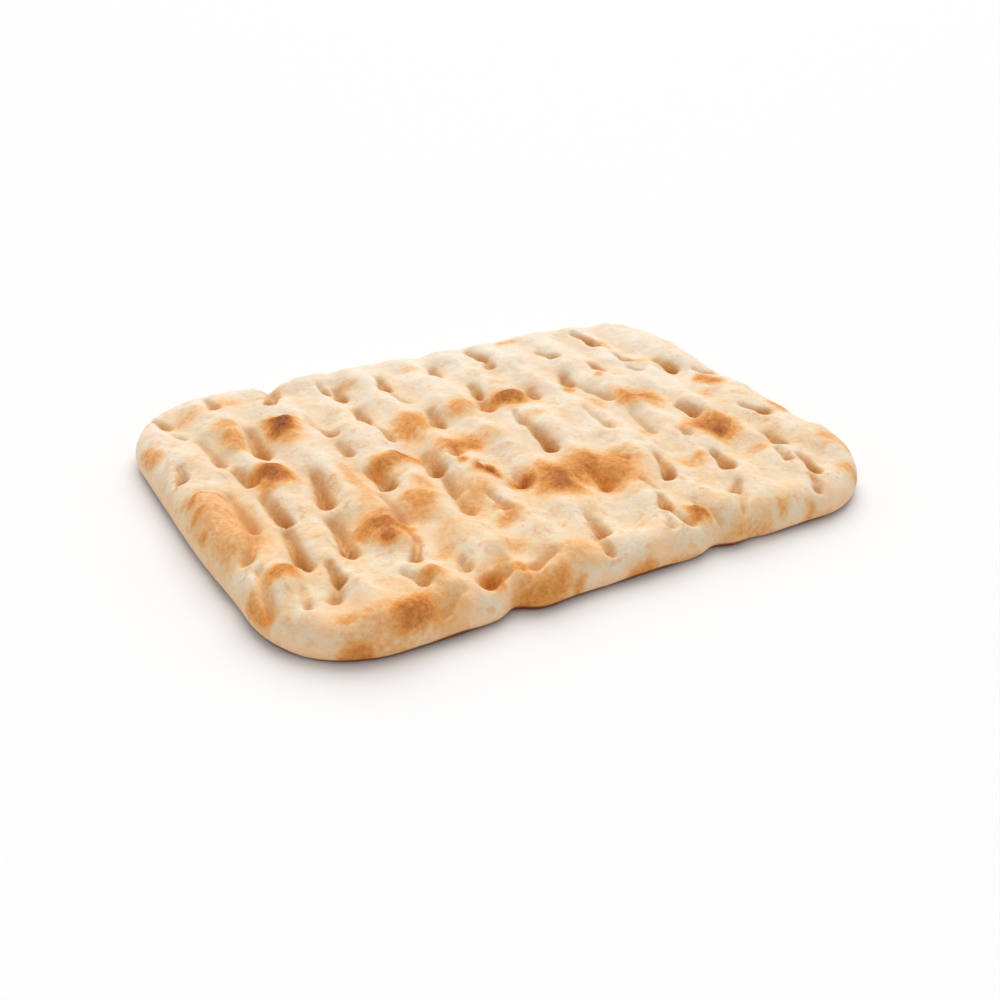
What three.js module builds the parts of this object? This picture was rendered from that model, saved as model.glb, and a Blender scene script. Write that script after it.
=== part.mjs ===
// A par-baked pizza base: one flat slab of dough with rounded corners, pushed down all over by
// fingertips, so that soft rolls stand up between deep marks. +Z is up, +X runs along the long
// side, and the origin is in the middle of the flat underside. All sizes are in millimetres.
import * as THREE from "three";

// Driving dimensions of the slab.
const slabLength = 400;
const slabWidth = 292;
const crownHeight = 24.5; // top of the dough between the finger marks
const beltHeight = 8.5; // height of the widest line of the rim
const shoulder = 15; // how far the rounded rim reaches in from the widest line
const tuck = 5; // how far the flat underside is set in from the widest line
const deepestMark = 17; // no mark goes further down than this

// Radius of each corner, by the sign of its X and Y.
const cornerRadius = { "--": 60, "+-": 62, "++": 46, "-+": 58 };

// Mesh of the slab: cells along the top, and rings round the rim.
const cellsAlong = 60;
const cellsAcross = 46;
const shoulderRings = 5;
const tuckRings = 3;

// Where the rim is pinched in (negative) or swells out (positive): x, y, amount, reach.
const rimSwells = [
  [-102, 146, -8, 9],
  [-128, 142, 1.5, 20],
  [-50, 146, -1.5, 10],
  [12, 146, -2, 9],
  [76, 146, -2, 9],
  [165, 141, -6, 26],
  [-72, -146, -5, 8],
  [-54, -146, 1.5, 12],
  [-122, -146, 1, 30],
  [58, -146, -4, 9],
  [84, -146, -1.5, 8],
  [200, -70, -1, 40],
  [-200, -85, -4, 45],
];

// The dough lies in rolls across the slab, with a soft valley between each roll and the next.
const firstValley = -164;
const rollPitch = 36;
const valleyCount = 10;
const valleyDrop = 4;
const valleyReach = 16;
const valleyWander = 4;
const valleyFade = 26;

// Finger marks: number of the valley, how far aside of it, y, length, lean to the left in degrees,
// depth at the near end.
const fingerMarks = [
  [-1, 12, 40, 22, -18, 7],
  [-1, 30, -12, 56, 0, 9],
  [-1, 21, -54, 36, -28, 7],
  [-1, 13, -93, 38, -10, 7],
  [0, 21, 122, 26, 0, 7],
  [0, 9, 27, 32, 6, 9],
  [0, 9, -22, 42, 0, 10],
  [0, 4, -63, 46, -8, 10],
  [0, 12, -95, 26, -5, 8],
  [1, 24, 117, 40, -22, 11],
  [1, -6, 62, 44, -5, 12],
  [1, 6, -9, 44, -11, 11],
  [1, -4, -60, 48, -9, 12],
  [1, 20, -141, 26, -70, 8],
  [2, 0, 60, 28, 10, 6],
  [2, 4, -14, 34, 0, 12],
  [2, -5, -48, 40, -3, 6],
  [2, -12, -92, 34, -27, 7],
  [2, 13, -134, 26, -75, 12],
  [3, -6, 106, 22, -12, 9],
  [3, -5, 69, 28, -10, 10],
  [3, 4, -10, 36, -10, 12],
  [3, -4, -61, 28, -5, 7],
  [3, 6, -132, 26, -70, 7],
  [4, -11, 102, 26, -15, 11],
  [4, -1, 44, 28, -12, 11],
  [4, 13, -117, 26, -5, 7],
  [5, -3, 110, 24, -20, 9],
  [5, 7, 71, 24, -15, 9],
  [5, 2, 48, 26, -15, 12],
  [5, 6, -13, 36, -2, 8],
  [6, 0, 122, 24, 10, 7],
  [6, 4, 50, 18, -20, 10],
  [6, 16, -79, 32, -20, 10],
  [6, -12, -115, 22, -18, 8],
  [6, 8, -152, 30, -45, 7],
  [7, 0, 57, 26, -25, 12],
  [7, 3, -118, 22, -50, 7],
  [8, 16, 111, 32, 10, 8],
  [8, -5, 67, 26, -5, 8],
  [8, 7, -22, 24, 10, 8],
  [8, -19, -88, 30, -18, 13],
  [9, -15, 70, 28, -10, 10],
  [9, 6, 48, 26, 5, 9],
  [9, 24, 24, 24, 25, 7],
  [9, 11, -43, 28, 10, 9],
  [9, -5, -80, 26, -15, 13],
  [9, -12, -117, 28, -12, 10],
];
const markReach = 4.6;
const markSpread = 0.5;
const farEndShare = 0.65;
const tipRadius = 6;
const tipShare = 0.3;

// Blisters that the oven blew up: x, y, length, width, turn from +X in degrees, height.
const blisters = [
  [-187, -24, 80, 34, 92, 4],
  [-140, 8, 44, 26, 82, 3.5],
  [-113, 70, 34, 24, 75, 4],
  [-110, -73, 42, 30, 75, 4],
  [-172, -90, 30, 20, 70, 3],
  [-69, 0, 34, 30, 60, 3.5],
  [-42, -8, 38, 26, 75, 3],
  [-35, -45, 50, 34, 70, 3],
  [-86, -52, 34, 22, 75, 3],
  [37, 44, 40, 28, 65, 4],
  [0, 44, 26, 20, 60, 3],
  [6, -66, 36, 26, 60, 2.5],
  [40, -68, 44, 30, 50, 2.5],
  [116, 2, 38, 28, 20, 3],
  [-134, -146, 40, 28, 20, 3.5],
  [-60, -158, 36, 26, 10, 3.5],
];

// Slow unevenness of the dough: amount, waves per metre along X and along Y, and phase.
const unevenness = [
  [0.9, 9, 4, 0.4],
  [0.8, -5, 13, 2.1],
  [0.6, 17, -9, 4.4],
  [0.5, 11, 22, 1.2],
];

// A valley's line bends as a sine along Y, and its cross section is drop (1 - q^2)^2.
function valleyDepth(x, y) {
  let depth = 0;
  for (let k = 0; k < valleyCount; k++) {
    const line = firstValley + rollPitch * k + valleyWander * Math.sin(y / 24 + 2.1 * k);
    const q = (x - line) / valleyReach;
    if (Math.abs(q) < 1) depth += valleyDrop * (1 - q * q) ** 2;
  }
  const inset = slabWidth / 2 - Math.abs(y);
  return depth * THREE.MathUtils.clamp(inset / valleyFade, 0, 1);
}

// With q the distance from the mark's line as a share of its reach, the depth is
// depth (0.45 (1 - (q / 0.45)^2)^2 + 0.6 (1 - q)^2), and the fingertip's pit is added at the near
// end.
function fingerMarkDepth(x, y, [valley, aside, atY, length, lean, deep]) {
  const angle = THREE.MathUtils.degToRad(lean);
  const line = new THREE.Vector2(-Math.sin(angle), Math.cos(angle));
  const from = new THREE.Vector2(x - firstValley - rollPitch * valley - aside, y - atY);
  const reach = markReach + markSpread * deep;
  const half = Math.max(length - reach, 4) / 2;
  const along = THREE.MathUtils.clamp(from.dot(line), -half, half);
  const q = from.clone().addScaledVector(line, -along).length() / reach;
  const hollow = 0.45 * Math.max(1 - (q / 0.45) ** 2, 0) ** 2 + 0.6 * Math.max(1 - q, 0) ** 2;
  const fall = 1 - (1 - farEndShare) * (along + half) / (2 * half);
  const tip = from.addScaledVector(line, 0.7 * half).length() / tipRadius;
  return deep * (fall * hollow + tipShare * Math.max(1 - tip * tip, 0) ** 2);
}

// Where two marks meet the deeper one leads, and the total is softly held above the deepest.
function markDepth(x, y) {
  let cubes = 0;
  for (const mark of fingerMarks) cubes += fingerMarkDepth(x, y, mark) ** 3;
  const total = Math.cbrt(cubes) + valleyDepth(x, y);
  return deepestMark * Math.tanh(total / deepestMark);
}

// Distance from the middle line of a blister, as a share of half its width.
function spread(x, y, [cx, cy, length, width, turn]) {
  const angle = THREE.MathUtils.degToRad(turn);
  const dx = x - cx;
  const dy = y - cy;
  const along = Math.abs(dx * Math.cos(angle) + dy * Math.sin(angle));
  const across = -dx * Math.sin(angle) + dy * Math.cos(angle);
  const past = Math.max(along - (length - width) / 2, 0);
  return Math.hypot(past, across) / (width / 2);
}

function blisterHeight(x, y) {
  let height = 0;
  for (const blister of blisters) {
    const q = spread(x, y, blister);
    if (q < 1) height += blister[5] * (1 - q * q) ** 2;
  }
  return height;
}

function unevenHeight(x, y) {
  return unevenness.reduce(
    (sum, [amount, alongX, alongY, phase]) =>
      sum + amount * Math.sin((2 * Math.PI * (alongX * x + alongY * y)) / 1000 + phase),
    0,
  );
}

// Height of the dough's skin at a place on the slab.
function skinHeight(x, y) {
  return crownHeight + unevenHeight(x, y) + blisterHeight(x, y) - markDepth(x, y);
}

// The widest line of the slab. (u, v) is on the edge of the square from -1 to 1. The point is on
// a rectangle with rounded corners, then moved along the outward normal by the rim's swells.
function rimLine(u, v) {
  const radius = cornerRadius[(u < 0 ? "-" : "+") + (v < 0 ? "-" : "+")];
  const point = new THREE.Vector2((u * slabLength) / 2, (v * slabWidth) / 2);
  const centre = new THREE.Vector2(
    Math.sign(u) * (slabLength / 2 - radius),
    Math.sign(v) * (slabWidth / 2 - radius),
  );
  const normal = new THREE.Vector2(Math.abs(u) === 1 ? u : 0, Math.abs(v) === 1 ? v : 0);
  const inCorner =
    Math.abs(point.x) > Math.abs(centre.x) && Math.abs(point.y) > Math.abs(centre.y);
  if (inCorner) {
    normal.copy(point).sub(centre).normalize();
    point.copy(centre).addScaledVector(normal, radius);
  }
  let swell = 0;
  for (const [x, y, amount, reach] of rimSwells) {
    swell += amount * Math.exp(-((point.x - x) ** 2 + (point.y - y) ** 2) / reach ** 2);
  }
  return { point: point.addScaledVector(normal, swell), normal };
}

// A place on the top, inside the shoulder: an even grid in the middle, which turns into the
// rim's own outline towards its edge.
function topPoint(u, v) {
  const share = Math.max(Math.abs(u), Math.abs(v));
  const inner = new THREE.Vector2(
    u * (slabLength / 2 - shoulder),
    v * (slabWidth / 2 - shoulder),
  );
  if (share === 0) return inner;
  const { point, normal } = rimLine(u / share, v / share);
  const edge = point.addScaledVector(normal, -shoulder).multiplyScalar(share);
  return inner.lerp(edge, share ** 4);
}

// The cells round the edge of the grid, in order, seen from above and anticlockwise.
function edgeLoop() {
  const loop = [];
  for (let i = 0; i < cellsAlong; i++) loop.push([i, 0]);
  for (let j = 0; j < cellsAcross; j++) loop.push([cellsAlong, j]);
  for (let i = cellsAlong; i > 0; i--) loop.push([i, cellsAcross]);
  for (let j = cellsAcross; j > 0; j--) loop.push([0, j]);
  return loop;
}

// One ring of the rim. The turn goes from 90 degrees on the shoulder through 0 on the widest
// line to -90 on the underside.
function rimRing(loop, turnDegrees) {
  const turn = THREE.MathUtils.degToRad(turnDegrees);
  const reach = turn >= 0 ? shoulder : tuck;
  return loop.map(([i, j]) => {
    const { point, normal } = rimLine((2 * i) / cellsAlong - 1, (2 * j) / cellsAcross - 1);
    point.addScaledVector(normal, reach * (Math.cos(turn) - 1));
    const rise = turn >= 0 ? skinHeight(point.x, point.y) - beltHeight : beltHeight;
    const z = turnDegrees <= -90 ? 0 : beltHeight + rise * Math.sin(turn);
    return [point.x, point.y, z];
  });
}

function slabGeometry() {
  const positions = [];
  const faces = [];
  const add = (x, y, z) => positions.push(x, y, z) / 3 - 1;
  const at = (i, j) => j * (cellsAlong + 1) + i;

  for (let j = 0; j <= cellsAcross; j++) {
    for (let i = 0; i <= cellsAlong; i++) {
      const place = topPoint((2 * i) / cellsAlong - 1, (2 * j) / cellsAcross - 1);
      add(place.x, place.y, skinHeight(place.x, place.y));
    }
  }
  for (let j = 0; j < cellsAcross; j++) {
    for (let i = 0; i < cellsAlong; i++) {
      const [a, b, c, d] = [at(i, j), at(i + 1, j), at(i + 1, j + 1), at(i, j + 1)];
      faces.push(a, b, c, a, c, d);
    }
  }

  const loop = edgeLoop();
  let ring = loop.map(([i, j]) => at(i, j));
  const turns = [];
  for (let k = 1; k <= shoulderRings; k++) turns.push(90 - (90 * k) / shoulderRings);
  for (let k = 1; k <= tuckRings; k++) turns.push((-90 * k) / tuckRings);
  for (const turn of turns) {
    const next = rimRing(loop, turn).map((place) => add(...place));
    ring.forEach((a, k) => {
      const after = (k + 1) % ring.length;
      faces.push(a, next[k], next[after], a, next[after], ring[after]);
    });
    ring = next;
  }

  const middle = add(0, 0, 0);
  ring.forEach((a, k) => faces.push(a, middle, ring[(k + 1) % ring.length]));

  const geometry = new THREE.BufferGeometry();
  geometry.setAttribute("position", new THREE.Float32BufferAttribute(positions, 3));
  geometry.setIndex(faces);
  geometry.computeBoundingBox();
  const middleOfBox = geometry.boundingBox.getCenter(new THREE.Vector3());
  geometry.translate(-middleOfBox.x, -middleOfBox.y, 0);
  geometry.computeVertexNormals();
  return geometry;
}

const bakedDough = new THREE.MeshStandardMaterial({
  color: 0xecd2a8,
  roughness: 0.85,
  metalness: 0,
});

const pizzaBase = new THREE.Group();
const slab = new THREE.Mesh(slabGeometry(), bakedDough);
slab.name = "dough_slab";
pizzaBase.add(slab);

export default pizzaBase;
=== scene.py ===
import bpy
import numpy as np
from mathutils import Matrix, Vector


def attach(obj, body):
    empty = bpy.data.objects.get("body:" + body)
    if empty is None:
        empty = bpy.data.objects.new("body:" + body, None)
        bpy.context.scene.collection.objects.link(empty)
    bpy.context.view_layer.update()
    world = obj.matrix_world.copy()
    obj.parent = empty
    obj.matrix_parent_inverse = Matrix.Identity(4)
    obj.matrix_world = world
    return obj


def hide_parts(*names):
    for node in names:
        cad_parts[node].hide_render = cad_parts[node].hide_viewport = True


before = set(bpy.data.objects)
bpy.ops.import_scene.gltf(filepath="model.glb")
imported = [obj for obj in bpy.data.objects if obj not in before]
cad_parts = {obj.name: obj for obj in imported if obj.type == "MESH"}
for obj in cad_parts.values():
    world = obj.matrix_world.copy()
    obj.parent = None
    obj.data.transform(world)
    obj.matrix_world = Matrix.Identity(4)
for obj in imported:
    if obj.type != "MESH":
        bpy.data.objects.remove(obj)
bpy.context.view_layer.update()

# A par-baked pizza base. The surface is worked out in millimetres on numpy grids and turned into
# metres when it becomes a mesh. +Z is up, +X runs along the long side.
mm = 0.001
tiny = 1e-9                 # keeps a division by zero away
almost = 0.99999            # from here on, a point of the square from -1 to 1 counts as on its side
latticeCells = 32           # noise repeats after this many cells
scene = bpy.context.scene


camera = {
    "azimuth": -31.53,      # degrees round +Z from straight in front, below 0 towards -X
    "elevation": 29.67,     # degrees above the floor
    "roll": 2.0,            # degrees, the camera's right side tipped up
    "distance": 666.4,      # from the point looked at
    "looksAt": (-28.6, -50.9, 10.0),
    "lens": 41.2,
    "sensor": 36,           # width that the lens is stated for
}


def makeCamera(c):
    # away is the direction from the point looked at to the camera: azimuth turns it round +Z and
    # elevation lifts it. The view's right and up are then turned by the roll
    azimuth, elevation, roll = np.radians([c["azimuth"], c["elevation"], c["roll"]])
    away = np.array([np.sin(azimuth) * np.cos(elevation),
                     -np.cos(azimuth) * np.cos(elevation),
                     np.sin(elevation)])
    right = np.array([np.cos(azimuth), np.sin(azimuth), 0.0])
    up = np.cross(away, right)
    rolledRight = np.cos(roll) * right + np.sin(roll) * up
    rolledUp = np.cos(roll) * up - np.sin(roll) * right
    place = (np.array(c["looksAt"]) + c["distance"] * away) * mm
    data = bpy.data.cameras.new("camera")
    data.lens = c["lens"]
    data.sensor_width = c["sensor"]
    obj = bpy.data.objects.new("camera", data)
    scene.collection.objects.link(obj)
    turn = Matrix(np.column_stack([rolledRight, rolledUp, away]).tolist())
    obj.matrix_world = Matrix.Translation(Vector(place)) @ turn.to_4x4()
    scene.camera = obj


makeCamera(camera)
print("camera set")


# the slab lies flat, with its middle at the origin and its underside at z = 0
slab = {
    "length": 400,
    "width": 292,
    "crown": 24.5,          # height of the skin between the finger marks
    "belt": 8.5,            # height of the widest line of the rim
    "shoulder": 15,         # how far the rounded rim reaches in from the widest line
    "tuck": 5,              # how far the underside is set in from the widest line
    "corners": {(-1, -1): 60, (1, -1): 62, (1, 1): 46, (-1, 1): 58},    # radius, by signs of x, y
    "cellsAlong": 280,
    "cellsAcross": 210,
    "shoulderRings": 12,
    "tuckRings": 8,
    "undersideRings": 12,
    "gridTurn": 4,          # power by which the even grid of the top turns into the rim's outline
}

# where the rim is pinched in (negative) or swells out: x, y, amount, reach
rimSwells = np.array([
    [-102, 146, -8, 9],
    [-128, 142, 1.5, 20],
    [-50, 146, -1.5, 10],
    [12, 146, -2, 9],
    [76, 146, -2, 9],
    [165, 141, -6, 26],
    [-72, -146, -5, 8],
    [-54, -146, 1.5, 12],
    [-122, -146, 1, 30],
    [58, -146, -4, 9],
    [84, -146, -1.5, 8],
    [200, -70, -1, 40],
    [-200, -85, -4, 45],
])

# the dough lies in rolls across the slab, with a soft valley between each roll and the next
rolls = {
    "firstValley": -164,
    "pitch": 36,
    "valleys": 10,
    "valleyDepth": 4,
    "valleyReach": 16,
    "wander": 4,            # how far a valley bends to each side
    "bend": 24,             # how far along the valley the bend's angle grows by one radian
    "bendShift": 2.1,       # radians from one valley's bend to the next one's
    "fade": 26,             # how far from the rim a valley dies out
}

# marks of the fingers: number of the valley, how far aside of it, y, length, lean to the left in
# degrees, depth at the near end
fingerMarks = np.array([
    [-1, 12, 40, 22, -18, 7],
    [-1, 22, 116, 22, 20, 6],
    [-1, 24, 93, 26, 15, 4],
    [-1, 30, -12, 56, 0, 9],
    [-1, 21, -54, 36, -28, 7],
    [-1, 13, -93, 38, -10, 7],
    [-1, 10, 12, 22, -60, 4],
    [-1, 22, 6, 22, 68, 4],
    [-1, 29, -108, 22, -15, 4],
    [0, 21, 122, 26, 0, 7],
    [0, 1, 62, 36, 9, 5],
    [0, 9, 27, 32, 6, 9],
    [0, 9, -22, 42, 0, 10],
    [0, 4, -63, 46, -8, 10],
    [0, 12, -95, 26, -5, 8],
    [0, 7, -110, 18, -30, 6],
    [1, 24, 117, 40, -22, 11],
    [1, -6, 62, 44, -5, 12],
    [1, 6, -9, 44, -11, 11],
    [1, -4, -60, 48, -9, 12],
    [1, 10, -118, 24, 15, 6],
    [1, 20, -141, 26, -70, 8],
    [2, 0, 60, 28, 10, 6],
    [2, 1, 30, 24, 0, 6],
    [2, 4, -14, 34, 0, 12],
    [2, -5, -48, 40, -3, 6],
    [2, -12, -92, 34, -27, 7],
    [2, 2, -118, 18, -15, 6],
    [2, 13, -134, 26, -75, 12],
    [3, -14, 114, 18, 5, 6],
    [3, -6, 106, 22, -12, 9],
    [3, -5, 69, 28, -10, 10],
    [3, -5, 41, 38, 0, 6],
    [3, 4, -10, 36, -10, 12],
    [3, 0, -39, 28, -10, 7],
    [3, -4, -61, 28, -5, 7],
    [3, 6, -132, 26, -70, 7],
    [3, -9, -133, 12, 0, 3],
    [3, 18, -152, 20, 10, 5],
    [4, -11, 102, 26, -15, 11],
    [4, -10, 80, 24, 10, 4],
    [4, -1, 44, 28, -12, 11],
    [4, -15, -13, 18, -60, 4],
    [4, -8, -31, 22, 5, 5],
    [4, 5, -50, 20, -10, 6],
    [4, -22, -72, 26, 10, 6],
    [4, 13, -117, 26, -5, 7],
    [4, 7, -133, 22, -10, 6],
    [5, -3, 110, 24, -20, 9],
    [5, 7, 71, 24, -15, 9],
    [5, 2, 48, 26, -15, 12],
    [5, 9, 14, 26, -7, 6],
    [5, 6, -13, 36, -2, 8],
    [5, 10, -71, 30, -2, 5],
    [6, 0, 122, 24, 10, 7],
    [6, 2, 106, 20, -15, 7],
    [6, 4, 50, 18, -20, 10],
    [6, 19, -5, 36, 0, 4],
    [6, -2, -58, 20, 20, 5],
    [6, 16, -79, 32, -20, 10],
    [6, -6, -92, 18, 10, 4],
    [6, -12, -115, 22, -18, 8],
    [6, -11, -131, 20, 15, 6],
    [6, -21, -134, 12, -30, 5],
    [6, 8, -129, 26, 5, 4],
    [6, 8, -152, 30, -45, 7],
    [7, 8, 95, 26, 22, 6],
    [7, 0, 57, 26, -25, 12],
    [7, 5, 30, 40, 15, 5],
    [7, 8, -22, 36, -5, 4],
    [7, 3, -118, 22, -50, 7],
    [7, -5, -134, 24, -40, 5],
    [8, 16, 111, 32, 10, 8],
    [8, -5, 67, 26, -5, 8],
    [8, 14, 46, 18, 20, 6],
    [8, 7, -22, 24, 10, 8],
    [8, -18, -49, 18, -5, 5],
    [8, -19, -88, 30, -18, 13],
    [8, 13, -135, 16, -30, 6],
    [9, -15, 70, 28, -10, 10],
    [9, 6, 48, 26, 5, 9],
    [9, 24, 24, 24, 25, 7],
    [9, 11, -43, 28, 10, 9],
    [9, -5, -80, 26, -15, 13],
    [9, -17, -101, 24, -15, 6],
    [9, -12, -117, 28, -12, 10],
], dtype=float)

markForm = {
    "reach": 4.6,           # how far the hollow of the faintest mark spreads from its line
    "spread": 0.5,          # how much further for each mm of depth
    "shortest": 4,          # of the line itself, without the round ends
    "farEnd": 0.65,         # depth at the far end, as a share of that at the near end
    "trough": 0.4,          # depth of the trough along the line, as a share of the mark's
    "troughReach": 0.45,    # how far the trough spreads, as a share of the mark's reach
    "slope": 0.55,          # depth of the wide slope around it, as a share of the mark's
    "slopeRound": 0.08,     # rounding of the slope at the line, as a share of the mark's reach
    "slit": 0.3,            # depth of the narrow slit along the line, as a share of the mark's
    "slitReach": 0.2,       # how far the slit spreads, as a share of the mark's reach
    "tip": 6,               # radius of the pit that the fingertip left near the near end
    "tipShare": 0.3,        # depth of that pit, as a share of the mark's
    "tipPlace": 0.7,        # where it lies, from the middle of the line (0) to its near end (1)
    "slideTo": (0.52, 0.85),    # the way the fingers slid, along X and Y
    "slideShare": 0.3,      # how much further the hollow spreads on that side
    "deepest": 17,
    "wobble": (1.6, 17, 3, 4),  # of the plan that marks are pressed on: amount, size, two seeds
    "shadeReach": 0.75,     # how far the painted shade on the floor spreads, as a share of the reach
    "shadeFarEnd": 0.5,     # painted shade at the far end, as a share of that at the near end
    "shadeDepth": 8,        # depth from which the floor has its full painted shade
}

# blisters that the oven blew up: x, y, length, width, turn from +X in degrees, height
blisters = np.array([
    [-187, -24, 80, 34, 92, 4],
    [-140, 8, 44, 26, 82, 3.5],
    [-113, 70, 34, 24, 75, 4],
    [-110, -73, 42, 30, 75, 4],
    [-172, -90, 30, 20, 70, 3],
    [-69, 0, 34, 30, 60, 3.5],
    [-42, -8, 38, 26, 75, 3],
    [-35, -45, 50, 34, 70, 3],
    [-86, -52, 34, 22, 75, 3],
    [37, 46, 32, 27, 10, 5],
    [0, 44, 26, 20, 60, 3],
    [-46, 40, 36, 24, 80, 2.5],
    [2, 0, 56, 30, 70, 2.5],
    [45, 0, 60, 34, 65, 2.5],
    [6, -66, 36, 26, 60, 2.5],
    [40, -68, 44, 30, 50, 2.5],
    [116, 2, 38, 28, 20, 3],
    [-134, -146, 40, 28, 20, 3.5],
    [-60, -158, 36, 26, 10, 3.5],
    [53, -134, 28, 14, 80, 2],
    [-148, 68, 34, 18, 75, 2.5],
    [-160, 112, 40, 26, 70, 2.5],
    [75, -150, 34, 22, 20, 2.5],
    [-76, 66, 44, 22, 75, 2],
    [60, 84, 50, 34, 65, 1.5],
    [104, 84, 50, 24, 65, 1.5],
    [150, 40, 34, 20, 60, 1.5],
    [-106, -128, 34, 16, 110, 3],
    [-84, -149, 40, 14, 15, 3],
    [-66, -142, 26, 14, 100, 3],
    [-78, -118, 34, 16, 20, 2.5],
    [-80, -90, 32, 26, 60, 2],
    [-66, -112, 28, 18, 20, 1.5],
    [-38, -136, 44, 26, 20, 2.5],
    [-24, -90, 30, 20, 40, 1.5],
], dtype=float)

# slow unevenness of the dough: amount, waves per metre along X and along Y, and phase
unevenness = np.array([
    [0.9, 9, 4, 0.4],
    [0.8, -5, 13, 2.1],
    [0.6, 17, -9, 4.4],
    [0.5, 11, 22, 1.2],
])

# small lumps in the skin, made of noise: amount, size, seed
lumps = [
    (0.9, 26, 5),
    (1.15, 12, 6),
    (0.4, 5, 7),
]


def latticeNoise(points, size, seed):
    # smooth noise from -1 to 1: random values on a cubic lattice of the given size, mixed
    # between the eight corners of a cell by the curve 3t^2 - 2t^3
    table = np.random.default_rng(seed).uniform(-1, 1, (latticeCells,) * 3)
    cell = np.floor(points / size).astype(int)
    t = points / size - cell
    t = t * t * (3 - 2 * t)
    total = np.zeros(points.shape[:-1])
    for corner in np.ndindex(2, 2, 2):
        a, b, c = np.moveaxis((cell + corner) % latticeCells, -1, 0)
        total += table[a, b, c] * np.where(corner, t, 1 - t).prod(axis=-1)
    return total


def noiseSum(x, y, layers):
    # layers of noise on the plan, each amount times noise of its size and seed, added up
    points = np.stack([x, y, np.zeros_like(x)], axis=-1)
    total = np.zeros_like(x)
    for amount, size, seed in layers:
        total += amount * latticeNoise(points, size, seed)
    return total


def wobbled(x, y, wobble):
    # the plan moved a little by noise along X and along Y, so that nothing on it is quite straight
    amount, size, seedX, seedY = wobble
    return x + noiseSum(x, y, [(amount, size, seedX)]), y + noiseSum(x, y, [(amount, size, seedY)])


def bowl(q):
    # a smooth hollow or hump, 1 at q = 0 and gone from q = 1 on: (1 - q^2)^2
    return np.maximum(1 - q * q, 0) ** 2


def ovalSpread(x, y, oval):
    # distance from the middle line of a rounded bar, as a share of half its width
    atX, atY, length, width, turn = oval
    angle = np.radians(turn)
    along = np.abs((x - atX) * np.cos(angle) + (y - atY) * np.sin(angle))
    across = (y - atY) * np.cos(angle) - (x - atX) * np.sin(angle)
    past = np.maximum(along - (length - width) / 2, 0)
    return np.hypot(past, across) / (width / 2)


def valleyDepth(x, y):
    # a valley's line bends as a sine along y, and its cross section is depth times a bowl. Near
    # the rim it dies out in a straight slope
    depth = np.zeros_like(x)
    for k in range(rolls["valleys"]):
        bend = rolls["wander"] * np.sin(y / rolls["bend"] + rolls["bendShift"] * k)
        q = (x - rolls["firstValley"] - rolls["pitch"] * k - bend) / rolls["valleyReach"]
        depth += rolls["valleyDepth"] * bowl(q)
    inset = slab["width"] / 2 - np.abs(y)
    return depth * np.clip(inset / rolls["fade"], 0, 1)


def placeInMark(x, y, mark):
    # how far a point is from the mark's line, as a share of its reach, how near it is to the near
    # end (1 there, 0 at the far end), and its distance from the middle of the fingertip's pit, as
    # a share of its radius. A point on the side that the fingers slid to counts as closer, which
    # makes the wall on that side less steep.
    valley, aside, atY, length, lean, deep = mark
    atX = rolls["firstValley"] + rolls["pitch"] * valley + aside
    alongX, alongY = -np.sin(np.radians(lean)), np.cos(np.radians(lean))
    reach = markForm["reach"] + markForm["spread"] * deep
    half = max(length - reach, markForm["shortest"]) / 2
    along = np.clip((x - atX) * alongX + (y - atY) * alongY, -half, half)
    awayX, awayY = x - atX - along * alongX, y - atY - along * alongY
    away = np.hypot(awayX, awayY)
    slideX, slideY = markForm["slideTo"]
    slide = (slideX * awayX + slideY * awayY) / np.maximum(away, tiny)
    q = away / (1 + markForm["slideShare"] * slide) / reach
    tipAt = markForm["tipPlace"] * half
    tip = np.hypot(x - atX + tipAt * alongX, y - atY + tipAt * alongY) / markForm["tip"]
    return q, 0.5 - 0.5 * along / half, tip


def fingerMarkDepth(x, y, mark):
    # with q the distance as a share of the reach, the hollow is a trough, a bowl of q / troughReach,
    # plus a wide slope, (1 - q)^2, plus the slit where the dough folded, a bowl of q / slitReach.
    # It is shallower towards the far end, and the fingertip's pit is a bowl added near the near end
    q, near, tip = placeInMark(x, y, mark)
    rounding = markForm["slopeRound"]
    soft = np.sqrt(q * q + rounding ** 2) - rounding
    hollow = markForm["trough"] * bowl(q / markForm["troughReach"])
    hollow += markForm["slope"] * np.maximum(1 - soft, 0) ** 2
    hollow += markForm["slit"] * bowl(q / markForm["slitReach"])
    fall = markForm["farEnd"] + (1 - markForm["farEnd"]) * near
    return mark[-1] * (fall * hollow + markForm["tipShare"] * bowl(tip))


def shadedMarkFloor(x, y):
    # painted shade on the floor of a mark lies along its line by 1 - (q / shadeReach)^2, most at the
    # near end, and less in a shallow mark
    most = np.zeros_like(x)
    for mark in fingerMarks:
        q, near = placeInMark(x, y, mark)[:2]
        fall = markForm["shadeFarEnd"] + (1 - markForm["shadeFarEnd"]) * near
        brown = np.maximum(1 - (q / markForm["shadeReach"]) ** 2, 0) * fall
        most = np.maximum(most, min(mark[-1] / markForm["shadeDepth"], 1) * brown)
    return most


def markDepth(x, y):
    # the marks are joined by the cube root of the sum of their cubes, so that where two meet the
    # deeper one leads. With the valleys, the total is softly held above the deepest by a tanh
    cubes = np.zeros_like(x)
    for mark in fingerMarks:
        cubes += fingerMarkDepth(x, y, mark) ** 3
    total = np.cbrt(cubes) + valleyDepth(x, y)
    return markForm["deepest"] * np.tanh(total / markForm["deepest"])


def blisterHeight(x, y):
    # a blister is its height times a bowl over an oval
    height = np.zeros_like(x)
    for *oval, rise in blisters:
        height += rise * bowl(ovalSpread(x, y, oval))
    return height


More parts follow.
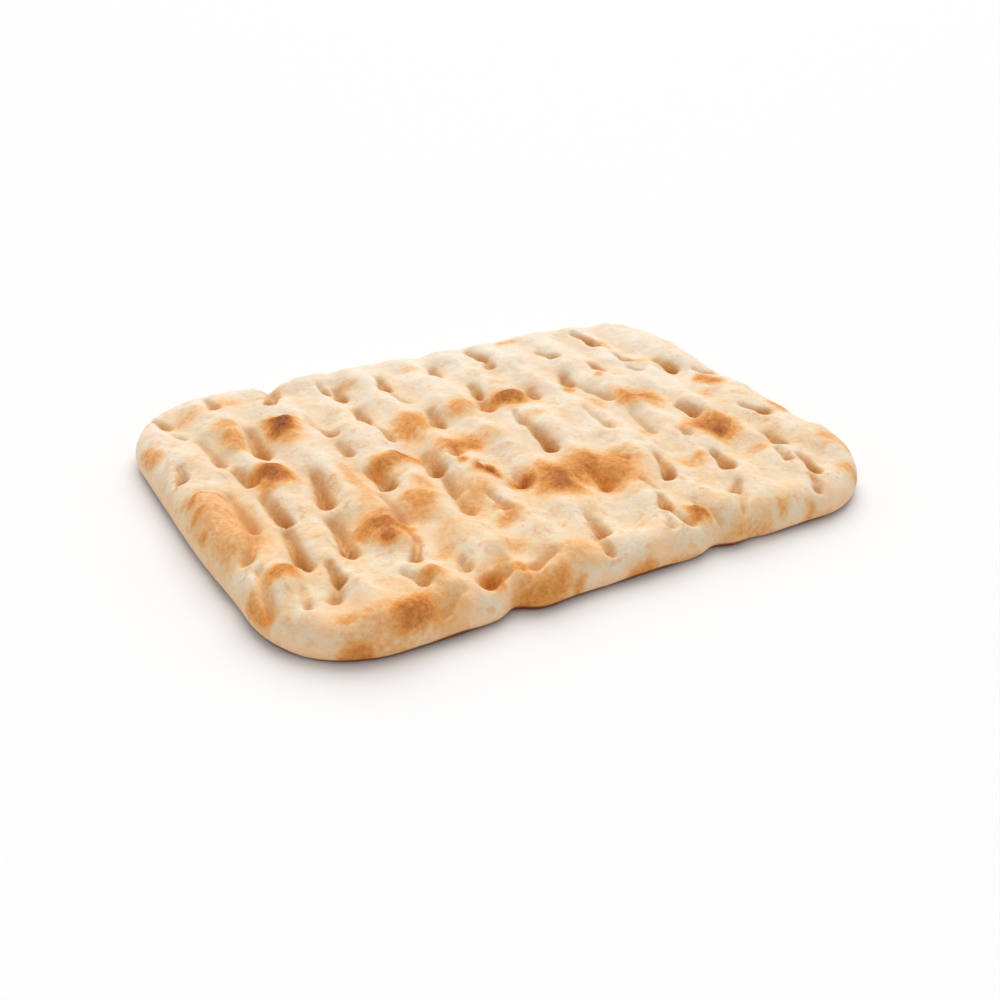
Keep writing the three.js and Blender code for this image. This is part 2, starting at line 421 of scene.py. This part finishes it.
def skinHeight(x, y):
    # the crown, plus slow sine waves, lumps and blisters, less the depth of the marks
    slow = np.zeros_like(x)
    for amount, alongX, alongY, phase in unevenness:
        slow += amount * np.sin(2 * np.pi * (alongX * x + alongY * y) * mm + phase)
    slow += noiseSum(x, y, lumps)
    return slab["crown"] + slow + blisterHeight(x, y) - markDepth(*wobbled(x, y, markForm["wobble"]))


def rimLine(u, v):
    # the widest line: a rectangle with round corners, moved along its outward normal by the
    # rim's swells, each amount exp(-(distance / reach)^2). (u, v) runs round the square from -1
    # to 1, and the place and the outward normal come back
    halfLength, halfWidth = slab["length"] / 2, slab["width"] / 2
    signU, signV = np.where(u < 0, -1, 1), np.where(v < 0, -1, 1)
    radius = np.select([(signU == a) & (signV == b) for a, b in slab["corners"]],
                       list(slab["corners"].values()))
    x, y = u * halfLength, v * halfWidth
    centreX, centreY = signU * (halfLength - radius), signV * (halfWidth - radius)
    inCorner = (np.abs(x) > np.abs(centreX)) & (np.abs(y) > np.abs(centreY))
    normalX = np.where(inCorner, x - centreX, np.where(np.abs(u) > almost, signU, 0))
    normalY = np.where(inCorner, y - centreY, np.where(np.abs(v) > almost, signV, 0))
    size = np.maximum(np.hypot(normalX, normalY), tiny)
    normalX, normalY = normalX / size, normalY / size
    x = np.where(inCorner, centreX + radius * normalX, x)
    y = np.where(inCorner, centreY + radius * normalY, y)
    swell = np.zeros_like(x)
    for atX, atY, amount, reach in rimSwells:
        swell += amount * np.exp(-((x - atX) ** 2 + (y - atY) ** 2) / reach ** 2)
    return x + swell * normalX, y + swell * normalY, normalX, normalY


def slabPoints():
    # top: an even grid in the middle that turns into the rim's outline by a power of its distance
    # from the centre. Then quarter-ellipse rings round the rim, and rings in under the slab
    nu, nv = slab["cellsAlong"], slab["cellsAcross"]
    u, v = np.meshgrid(np.linspace(-1, 1, nu + 1), np.linspace(-1, 1, nv + 1))
    share = np.maximum(np.maximum(np.abs(u), np.abs(v)), tiny)
    edgeX, edgeY, normalX, normalY = rimLine(u / share, v / share)
    shoulder, belt = slab["shoulder"], slab["belt"]
    edgeX, edgeY = share * (edgeX - shoulder * normalX), share * (edgeY - shoulder * normalY)
    innerX = u * (slab["length"] / 2 - shoulder)
    innerY = v * (slab["width"] / 2 - shoulder)
    mix = share ** slab["gridTurn"]
    x, y = innerX + mix * (edgeX - innerX), innerY + mix * (edgeY - innerY)
    top = np.stack([x, y, skinHeight(x, y)], axis=-1)

    index = np.arange((nu + 1) * (nv + 1)).reshape(nv + 1, nu + 1)
    loop = np.concatenate([index[0, :-1], index[:-1, -1], index[-1, :0:-1], index[:0:-1, 0]])
    edgeX, edgeY, normalX, normalY = rimLine(u.ravel()[loop], v.ravel()[loop])
    rings = []
    turns = np.concatenate([
        np.linspace(90, 0, slab["shoulderRings"] + 1)[1:],
        np.linspace(0, -90, slab["tuckRings"] + 1)[1:],
    ])
    for turn in np.radians(turns):
        reach = shoulder if turn >= 0 else slab["tuck"]
        x = edgeX + reach * (np.cos(turn) - 1) * normalX
        y = edgeY + reach * (np.cos(turn) - 1) * normalY
        rise = skinHeight(x, y) - belt if turn >= 0 else np.full_like(x, belt)
        rings.append(np.stack([x, y, belt + rise * np.sin(turn)], axis=-1))
    rings[-1][:, 2] = 0
    last = rings[-1]
    for k in range(1, slab["undersideRings"]):
        rings.append(last * (1 - k / slab["undersideRings"]))
    return top, np.array(rings), index, loop, np.stack([normalX, normalY], axis=-1)


def slabFaces(index, loop, ringCount):
    # quads of the top, then of each pair of rings, then triangles round the middle of the base
    a, b = index[:-1, :-1], index[:-1, 1:]
    c, d = index[1:, 1:], index[1:, :-1]
    quads = [np.stack([a, b, c, d], axis=-1).reshape(-1, 4)]
    first = index.size
    ring = loop
    for k in range(ringCount):
        after = first + k * len(loop) + np.arange(len(loop))
        quads.append(np.stack([ring, after, np.roll(after, -1), np.roll(ring, -1)], axis=-1))
        ring = after
    middle = first + ringCount * len(loop)
    fan = np.stack([ring, np.full_like(ring, middle), np.roll(ring, -1)], axis=-1)
    return np.concatenate(quads), fan


def meshFromArrays(name, points, quads, triangles):
    # a smooth mesh in metres, from points in millimetres and faces that number them
    mesh = bpy.data.meshes.new(name)
    mesh.vertices.add(len(points))
    mesh.vertices.foreach_set("co", (points * mm).astype(np.float32).ravel())
    corners = np.concatenate([quads.ravel(), triangles.ravel()]).astype(np.int32)
    sizes = np.concatenate([np.full(len(quads), 4), np.full(len(triangles), 3)])
    starts = np.concatenate([[0], np.cumsum(sizes)[:-1]]).astype(np.int32)
    mesh.loops.add(len(corners))
    mesh.loops.foreach_set("vertex_index", corners)
    mesh.polygons.add(len(sizes))
    mesh.polygons.foreach_set("loop_start", starts)
    mesh.update(calc_edges=True)
    mesh.shade_smooth()
    return mesh


def addValues(mesh, name, values):
    # one value at each point, which the material reads by its name
    attribute = mesh.attributes.new(name, "FLOAT", "POINT")
    attribute.data.foreach_set("value", values.astype(np.float32))


# where the oven browned the crust: x, y, length, width, turn from +X in degrees, strength
toasts = np.array([
    [-114, 70, 30, 18, 80, 1.25],
    [-114, 56, 22, 14, 80, 0.6],
    [-148, 66, 21, 13, 85, 0.62],
    [-142, 12, 28, 22, 85, 1.0],
    [-143, 13, 14, 8, 85, 1.15],
    [-110, -67, 30, 26, 75, 0.95],
    [-108, -63, 16, 10, 60, 1.05],
    [-114, -80, 14, 10, 60, 1.0],
    [-108, -42, 20, 12, 75, 0.4],
    [-101, -10, 50, 10, 88, 0.45],
    [-70, 0, 36, 18, 15, 0.8],
    [-65, 3, 14, 10, 20, 1.0],
    [-70, -32, 20, 11, 80, 0.5],
    [-84, -53, 28, 18, 60, 0.62],
    [-79, -87, 26, 20, 45, 0.35],
    [-92, -104, 12, 9, 30, 0.45],
    [-175, -87, 18, 13, 30, 0.85],
    [-195, -100, 24, 12, 95, 0.65],
    [-185, -25, 74, 30, 92, 0.5],
    [-192, -10, 10, 8, 0, 0.75],
    [-195, -27, 10, 8, 0, 0.7],
    [-193, 5, 14, 6, 50, 0.75],
    [-180, 6, 20, 6, 150, 0.75],
    [-198, 75, 24, 13, 95, 0.5],
    [-163, 110, 20, 13, 30, 0.45],
    [-133, 120, 18, 13, 60, 0.42],
    [-145, 85, 17, 12, 80, 0.6],
    [-150, 148, 16, 8, 15, 0.7],
    [-127, 143, 14, 7, 10, 0.6],
    [-130, -141, 28, 20, 10, 0.85],
    [-160, -133, 10, 8, 0, 0.65],
    [-165, -151, 22, 12, 0, 0.85],
    [-140, -146, 70, 34, 10, 0.42],
    [-82, -134, 16, 12, 0, 0.85],
    [-74, -129, 20, 8, 30, 0.45],
    [-64, -133, 10, 9, 0, 0.75],
    [-110, -122, 17, 14, 30, 0.6],
    [-57, -150, 36, 22, 10, 0.72],
    [-68, -158, 9, 8, 0, 1.35],
    [-36, -135, 40, 20, 20, 0.38],
    [-36, -152, 12, 8, 80, 0.65],
    [5, -156, 22, 13, 10, 0.7],
    [58, -160, 12, 7, 0, 1.35],
    [34, -156, 20, 8, 15, 0.4],
    [80, -152, 36, 20, 15, 0.45],
    [-40, 38, 36, 20, 50, 0.75],
    [-2, 45, 20, 18, 40, 0.55],
    [37, 46, 28, 25, 10, 1.0],
    [37, 53, 15, 10, 10, 1.2],
    [-29, 0, 32, 22, 20, 0.85],
    [-38, -22, 10, 6, 30, 0.8],
    [-4, 4, 20, 18, 0, 0.35],
    [35, 12, 16, 12, 0, 0.35],
    [-31, -36, 18, 14, 75, 1.15],
    [-50, -60, 34, 20, 60, 0.42],
    [-43, -74, 10, 7, 30, 0.6],
    [-14, -53, 20, 15, 10, 0.95],
    [3, -66, 40, 28, 60, 0.9],
    [4, -68, 24, 14, 60, 1.1],
    [38, -66, 46, 34, 65, 0.75],
    [22, -56, 44, 26, 20, 0.85],
    [37, -66, 14, 8, 90, 0.85],
    [42, -76, 12, 8, 30, 0.8],
    [-45, -87, 22, 12, 30, 0.6],
    [-58, -115, 12, 10, 0, 0.4],
    [37, -98, 12, 8, 0, 0.35],
    [53, -131, 16, 12, 85, 1.0],
    [-52, 113, 12, 9, 0, 0.35],
    [-3, 120, 12, 9, 0, 0.35],
    [40, 72, 12, 9, 0, 0.35],
    [113, 7, 30, 22, 150, 0.85],
    [114, 10, 14, 9, 20, 0.95],
    [80, 42, 10, 8, 0, 0.7],
    [108, 45, 8, 7, 0, 0.5],
    [176, 12, 22, 11, 110, 0.75],
    [84, 15, 16, 11, 90, 0.4],
    [147, 95, 15, 9, 90, 0.45],
    [153, 58, 16, 12, 0, 0.4],
    [82, 130, 16, 8, 15, 0.5],
    [130, -50, 30, 28, 15, 0.95],
    [129, -54, 18, 14, 15, 1.15],
    [186, -50, 18, 8, 100, 0.6],
    [86, -35, 16, 10, 80, 0.4],
    [92, -80, 20, 12, 20, 0.5],
    [137, -85, 14, 10, 0, 0.45],
    [105, -145, 14, 8, 80, 0.5],
    [125, -152, 14, 8, 80, 0.5],
    [162, -3, 14, 10, 0, 0.35],
    [185, -105, 30, 12, 110, 0.45],
    [175, -135, 26, 12, 130, 0.5],
], dtype=float)


toastForm = {
    "end": 2,               # where a patch has faded out, as a multiple of its half width
    "fade": 1.8,            # over how many half widths it fades
    "fray": [(0.2, 9, 11), (0.14, 4, 12)],  # noise in the outline: amount, size, seed
    "wobble": (2, 14, 13, 14),  # of the plan that patches lie on: amount, size, two seeds
}


def toastAmount(x, y):
    # each patch is strength times a smooth fall, 3t^2 - 2t^3, from 1 in its middle to 0 at its
    # end, frayed by noise. Patches are joined by the larger of them
    fray = noiseSum(x, y, toastForm["fray"])
    x, y = wobbled(x, y, toastForm["wobble"])
    most = np.zeros_like(x)
    for *oval, strength in toasts:
        t = (toastForm["end"] - ovalSpread(x, y, oval) + fray) / toastForm["fade"]
        t = np.clip(t, 0, 1)
        most = np.maximum(most, strength * t * t * (3 - 2 * t))
    return most


# where the crust takes which colour, in millimetres unless a note says otherwise
bakeForm = {
    "noiseSize": 18,
    "noiseSeed": 21,
    "dentFull": 14,         # depth of a mark that gets the full painted shade of a dent
    "rollBelow": 17,        # height below which toast runs on down the wall
    "rollShare": 0.8,       # how far the plan is rolled out there, for each mm of the wall
    "toastFoot": 2,         # height below which toast fades out
    "sideTop": 20,          # height below which the wall turns warm
    "sideFade": 12,         # over how much of the height it does
    "sideNoise": 4,         # how far noise moves that up or down
    "sideDent": 6,          # depth of a mark that keeps the wall in it from turning warm
    "sideWarmth": 0.8,      # share of the warm colour
    "frontFade": 30,        # how far in from the near side the skin is warm
    "frontWarmth": 0.45,    # share of the warm colour in the middle of the near side
    "frontNoise": 0.7,      # how much noise changes that share
    "frontTilt": 700,       # distance to the left over which the share grows by one
    "footTop": 4.1,         # height of the dark line where the rim meets the tray
    "footFade": 2.2,        # over how much of the height it fades
    "footNoise": 1.5,       # how far noise moves it up or down
    "underFade": 0.5,       # height at which the wall's colour has replaced the underside's
    "pale": 0.3,            # share of the pale back, flour and painted light, in the middle of the top
    "paleFade": 300,        # distance to the back over which the share grows by one
    "paleTurn": 0.35,       # share of the distance to the right that counts as to the back
    "paleNoise": 0.35,      # how much noise changes the share
}


def crustMasks(points, outwardX, outwardY):
    # one value at each point for each thing that colours the crust: 0 is none of it and 1 is all,
    # and only toast goes past 1, where the crust is charred
    x, y, z = points.T
    noise = latticeNoise(points, bakeForm["noiseSize"], bakeForm["noiseSeed"])
    onSkin = np.clip(z / slab["belt"], 0, 1)
    pressed = wobbled(x, y, markForm["wobble"])
    depth = markDepth(*pressed)

    # on the rim the toast runs on down the wall, so there the plan is rolled out by the drop
    drop = bakeForm["rollShare"] * np.maximum(bakeForm["rollBelow"] - z, 0)
    toast = toastAmount(x + drop * outwardX, y + drop * outwardY)

    # warm low on the wall, except in the marks, and along the near side, most on the left
    side = (bakeForm["sideTop"] - z + bakeForm["sideNoise"] * noise) / bakeForm["sideFade"]
    side = np.clip(side, 0, 1) * (1 - np.clip(depth / bakeForm["sideDent"], 0, 1))
    front = bakeForm["frontWarmth"] + bakeForm["frontNoise"] * noise - x / bakeForm["frontTilt"]
    inset = y + slab["width"] / 2
    front = np.clip(front, 0, 1) * np.exp(-(inset / bakeForm["frontFade"]) ** 2)

    foot = (bakeForm["footTop"] - z + bakeForm["footNoise"] * noise) / bakeForm["footFade"]
    # pale towards the back right, where the key light comes from: partly flour, partly painted light
    pale = bakeForm["pale"] + (y + bakeForm["paleTurn"] * x) / bakeForm["paleFade"]
    return {
        # dent and floor place the painted shade in the marks
        "dent": np.clip(depth / bakeForm["dentFull"], 0, 1) * onSkin,
        "floor": shadedMarkFloor(*pressed) * onSkin,
        "toast": toast * np.clip(z / bakeForm["toastFoot"], 0, 1),
        "warm": np.clip(np.maximum(bakeForm["sideWarmth"] * side, front), 0, 1),
        "edge": np.clip(foot, 0, 1),
        "under": np.clip(1 - z / bakeForm["underFade"], 0, 1),
        "pale": np.clip(pale + bakeForm["paleNoise"] * noise, 0, 1),
    }


def makeBakedSlab():
    # the surface and its masks. Only the points of the rings have an outward direction
    top, rings, index, loop, rimNormals = slabPoints()
    quads, fan = slabFaces(index, loop, len(rings))
    points = np.concatenate([top.reshape(-1, 3), rings.reshape(-1, 3), np.zeros((1, 3))])
    outward = np.concatenate([
        np.zeros((index.size, 2)),
        np.tile(rimNormals, (len(rings), 1)),
        np.zeros((1, 2)),
    ])
    mesh = meshFromArrays("baked_slab", points, quads, fan)
    for name, values in crustMasks(points, *outward.T).items():
        addValues(mesh, name, values)
    obj = bpy.data.objects.new("baked_slab", mesh)
    scene.collection.objects.link(obj)
    print("slab:", len(points), "points,", 2 * len(quads) + len(fan), "triangles")
    return obj


bakedSlab = makeBakedSlab()
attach(bakedSlab, "root")
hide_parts("dough_slab")

# The colours are laid one over the other. Each layer has the value that places it, the two ends of
# the smooth step in which it fades in along that value, its share when full, and its colour. The
# values are the masks and the noises.
crustLook = {
    "colours": {
        "cream": (0.840, 0.690, 0.500),
        "flourAndPaintedLight": (0.940, 0.865, 0.765),
        "tan": (0.800, 0.525, 0.265),
        # painted shade along the floors of the marks
        "goldenShade": (0.660, 0.300, 0.070),
        "foldShade": (0.420, 0.160, 0.026),      # painted shade in the narrow folds at the bottom of the marks
        "halo": (0.870, 0.570, 0.290),      # around the toasted patches
        "warm": (0.960, 0.620, 0.365),
        "orange": (0.780, 0.315, 0.062),
        "brown": (0.400, 0.112, 0.017),
        "char": (0.085, 0.024, 0.012),
        "footDark": (0.200, 0.046, 0.015),     # the thin dark line where the rim meets the tray
        "underside": (0.740, 0.500, 0.270),
        "undersideBrown": (0.470, 0.220, 0.075),
    },
    "noises": {                 # size in metres, detail, roughness
        "cloud": (0.016, 5, 0.62),
        "freckle": (0.0065, 2, 0.55),
        "speck": (0.003, 4, 0.65),
        "grain": (0.0012, 2, 0.6),
    },
    "breakUp": {                # how much of each noise is added to a mask
        "warm": {"cloud": 1.6},
        "toast": {"cloud": 0.35, "speck": 0.9},
    },
    "doughLayers": [            # over the cream
        ("cloud", 0.42, 0.66, 0.7, "tan"),
        ("freckle", 0.52, 0.72, 0.5, "orange"),
        ("speck", 0.5, 0.66, 0.6, "flourAndPaintedLight"),
        ("warm", 0.15, 0.85, 0.85, "warm"),
        ("warm", 0.75, 1.2, 0.6, "orange"),
    ],
    "paleShare": 0.6,           # of flour and painted light that the pale mask lays over those
    "bakedLayers": [            # over the flour and painted light of the pale mask
        # painted shade in the marks: tan by depth, golden along the floors, dark in the folds
        ("dent", 0.1, 0.5, 0.7, "tan"),
        ("floor", 0.2, 0.9, 0.9, "goldenShade"),
        ("floor", 0.7, 1.0, 0.7, "foldShade"),
        ("toast", -0.05, 0.3, 0.7, "halo"),
        ("toast", 0.17, 0.72, 0.93, "orange"),
        ("toast", 0.58, 1.1, 0.9, "brown"),
        ("toast", 1.05, 1.45, 0.9, "char"),
        ("edge", 0.1, 0.7, 0.95, "footDark"),
    ],
    "undersideLayers": [        # over the underside's own colour
        ("cloud", 0.4, 0.68, 1.0, "undersideBrown"),
        ("speck", 0.5, 0.66, 0.3, "flourAndPaintedLight"),
    ],
    "relief": {"cloud": 1.5, "speck": 0.5, "grain": 0.2},   # share of each noise in the height
    "reliefHeight": 0.0013,     # metres
    "reliefStrength": 0.8,
    "roughness": 0.72,
    "shine": 0.2,               # specular level
    "throughLight": 0.18,       # share of the light that goes into the crumb and comes out again
    "throughDepth": 0.004,      # how far it goes, in metres
    "throughColours": (1.0, 0.45, 0.2),     # how far red, green and blue go, as shares of that
}


def addNode(tree, kind, **values):
    # a new node, its properties set by name and its sockets by the names in the inputs dictionary
    node = tree.nodes.new(kind)
    inputs = values.pop("inputs", {})
    for name, value in values.items():
        setattr(node, name, value)
    for name, value in inputs.items():
        if isinstance(value, bpy.types.NodeSocket):
            tree.links.new(value, node.inputs[name])
        else:
            node.inputs[name].default_value = value
    return node


def maskValue(tree, name):
    # one of the masks that the mesh carries
    return addNode(tree, "ShaderNodeAttribute", attribute_name=name).outputs["Fac"]


def noiseValue(tree, size, detail, roughness):
    # noise through the solid dough, from 0 to 1, with clouds about size metres across
    coordinates = addNode(tree, "ShaderNodeTexCoord").outputs["Object"]
    return addNode(tree, "ShaderNodeTexNoise", inputs={
        "Vector": coordinates, "Scale": 1 / size, "Detail": detail, "Roughness": roughness,
    }).outputs["Fac"]


def stepValue(tree, value, start, end, most):
    # a smooth step from 0 at the start to its most at the end
    return addNode(tree, "ShaderNodeMapRange", interpolation_type="SMOOTHSTEP", inputs={
        "Value": value, "From Min": start, "From Max": end, "To Min": 0, "To Max": most,
    }).outputs["Result"]


def maths(tree, operation, first, second):
    # one sum with two values, each a number or the output of another node
    node = addNode(tree, "ShaderNodeMath", operation=operation)
    for socket, value in zip(node.inputs, (first, second)):
        if isinstance(value, bpy.types.NodeSocket):
            tree.links.new(value, socket)
        else:
            socket.default_value = value
    return node.outputs[0]


def addNoises(tree, values, base, shares):
    # base plus each noise, less its middle, 0.5, times its share
    total = base
    for name, share in shares.items():
        centred = maths(tree, "SUBTRACT", values[name], 0.5)
        total = maths(tree, "ADD", total, maths(tree, "MULTIPLY", centred, share))
    return total


def blend(tree, share, under, over):
    # the colour over, laid on the colour under by its share. Each is a colour of its own or the
    # output of another node
    node = addNode(tree, "ShaderNodeMix", data_type="RGBA")
    tree.links.new(share, node.inputs[0])
    for socket, colour in ((node.inputs[6], under), (node.inputs[7], over)):
        if isinstance(colour, bpy.types.NodeSocket):
            tree.links.new(colour, socket)
        else:
            socket.default_value = (*colour, 1)
    return node.outputs[2]


def layColours(tree, values, colour, layers):
    # the layers laid on a colour one after another, each by a smooth step of its value
    for name, start, end, most, over in layers:
        share = stepValue(tree, values[name], start, end, most)
        colour = blend(tree, share, colour, crustLook["colours"][over])
    return colour


def makeCrust():
    # cream dough with flour on the rolls and a pale back, partly painted light; golden painted shade
    # in the marks; and browned where the oven reached
    look = crustLook
    colours = look["colours"]
    material = bpy.data.materials.new("crust")
    material.use_nodes = True
    tree = material.node_tree
    principled = tree.nodes["Principled BSDF"]

    values = {name: noiseValue(tree, *form) for name, form in look["noises"].items()}
    for name in ("dent", "floor", "edge", "under", "pale"):
        values[name] = maskValue(tree, name)
    for name, shares in look["breakUp"].items():
        values[name] = addNoises(tree, values, maskValue(tree, name), shares)

    colour = layColours(tree, values, colours["cream"], look["doughLayers"])
    # the pale back, partly flour and partly painted light
    pale = maths(tree, "MULTIPLY", values["pale"], look["paleShare"])
    colour = blend(tree, pale, colour, colours["flourAndPaintedLight"])
    colour = layColours(tree, values, colour, look["bakedLayers"])
    underside = layColours(tree, values, colours["underside"], look["undersideLayers"])
    colour = blend(tree, values["under"], colour, underside)
    tree.links.new(colour, principled.inputs["Base Color"])

    bump = addNode(tree, "ShaderNodeBump", inputs={
        "Height": addNoises(tree, values, 0.0, look["relief"]),
        "Distance": look["reliefHeight"],
        "Strength": look["reliefStrength"],
    })
    tree.links.new(bump.outputs["Normal"], principled.inputs["Normal"])
    principled.inputs["Roughness"].default_value = look["roughness"]
    principled.inputs["Specular IOR Level"].default_value = look["shine"]
    principled.inputs["Subsurface Weight"].default_value = look["throughLight"]
    principled.inputs["Subsurface Radius"].default_value = look["throughColours"]
    principled.inputs["Subsurface Scale"].default_value = look["throughDepth"]
    return material


bakedSlab.data.materials.append(makeCrust())
print("crust material made")


# a pale floor under an even sky, and one soft light from above the back
studio = {
    "floorColour": (0.88, 0.88, 0.88),
    "floorRoughness": 0.9,
    "floorReach": 6.0,          # metres to each side
    "skyColour": (1, 1, 1),
    "skyStrength": 0.64,
    "keyFrom": (0.4, 0.6, 1.0),     # the direction that the main light comes from
    "keyStrength": 1.85,
    "keySoftness": 55,          # degrees across
}


def makeFloor():
    # one flat square that the slab lies on
    reach = studio["floorReach"]
    corners = [(-reach, -reach, 0), (reach, -reach, 0), (reach, reach, 0), (-reach, reach, 0)]
    mesh = bpy.data.meshes.new("floor")
    mesh.from_pydata(corners, [], [(0, 1, 2, 3)])
    floor = bpy.data.objects.new("floor", mesh)
    scene.collection.objects.link(floor)
    material = bpy.data.materials.new("floor")
    material.use_nodes = True
    principled = material.node_tree.nodes["Principled BSDF"]
    principled.inputs["Base Color"].default_value = (*studio["floorColour"], 1)
    principled.inputs["Roughness"].default_value = studio["floorRoughness"]
    mesh.materials.append(material)


def makeLight():
    # the sky lights evenly from all round, and the main light is a wide sun that shines from keyFrom
    world = bpy.data.worlds.new("studio")
    world.use_nodes = True
    background = world.node_tree.nodes["Background"]
    background.inputs["Color"].default_value = (*studio["skyColour"], 1)
    background.inputs["Strength"].default_value = studio["skyStrength"]
    scene.world = world
    data = bpy.data.lights.new("key", "SUN")
    data.energy = studio["keyStrength"]
    data.angle = np.radians(studio["keySoftness"])
    key = bpy.data.objects.new("key", data)
    scene.collection.objects.link(key)
    key.rotation_euler = (-Vector(studio["keyFrom"])).to_track_quat("-Z", "Y").to_euler()


makeFloor()
makeLight()
scene.view_settings.view_transform = "Standard"
print("floor and light set")
